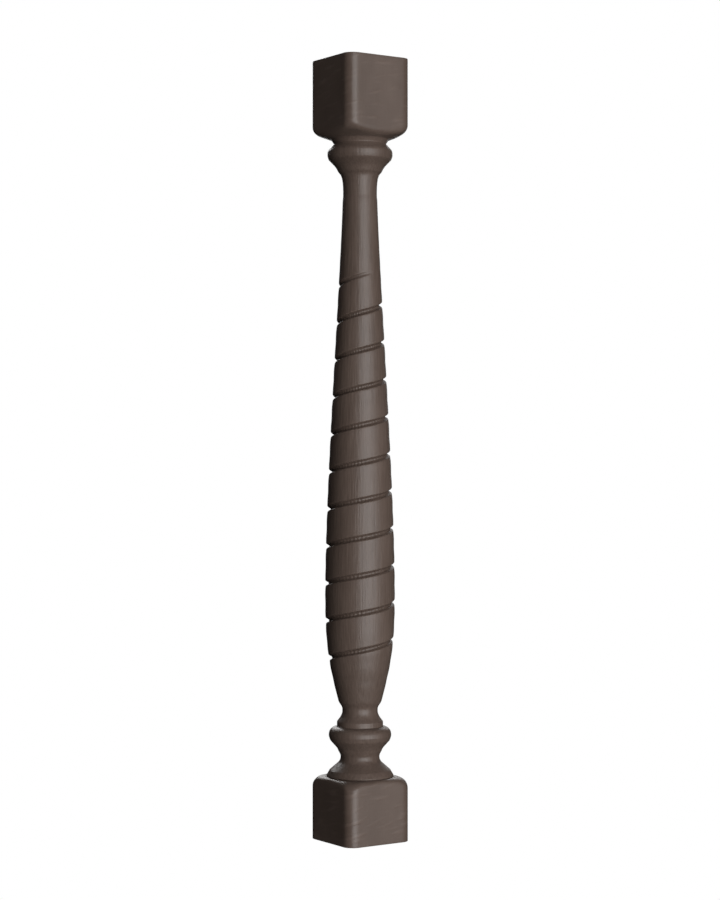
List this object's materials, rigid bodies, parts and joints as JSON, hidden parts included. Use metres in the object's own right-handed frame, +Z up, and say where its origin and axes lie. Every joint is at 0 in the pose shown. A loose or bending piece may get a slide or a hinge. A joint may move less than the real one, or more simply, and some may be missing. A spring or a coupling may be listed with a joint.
{
  "type": "rope-twist spindle",
  "caption": "Turned wooden spindle with square blocks at both ends and a long vase shaft with a rope groove winding round it, in a dark stain.",
  "frame": {"origin": "centre of the square underside of the lower block", "axes": "+Z up along the turning axis, +X and +Y square to the flat faces of the end blocks"},
  "size_m": [0.089, 0.089, 0.93],
  "materials": {
    "dark_stained_wood": "very dark brown stain under a satin clear coat"
  },
  "bodies": {
    "root": {"rope_twist_spindle": "dark_stained_wood"}
  },
  "joints": []
}
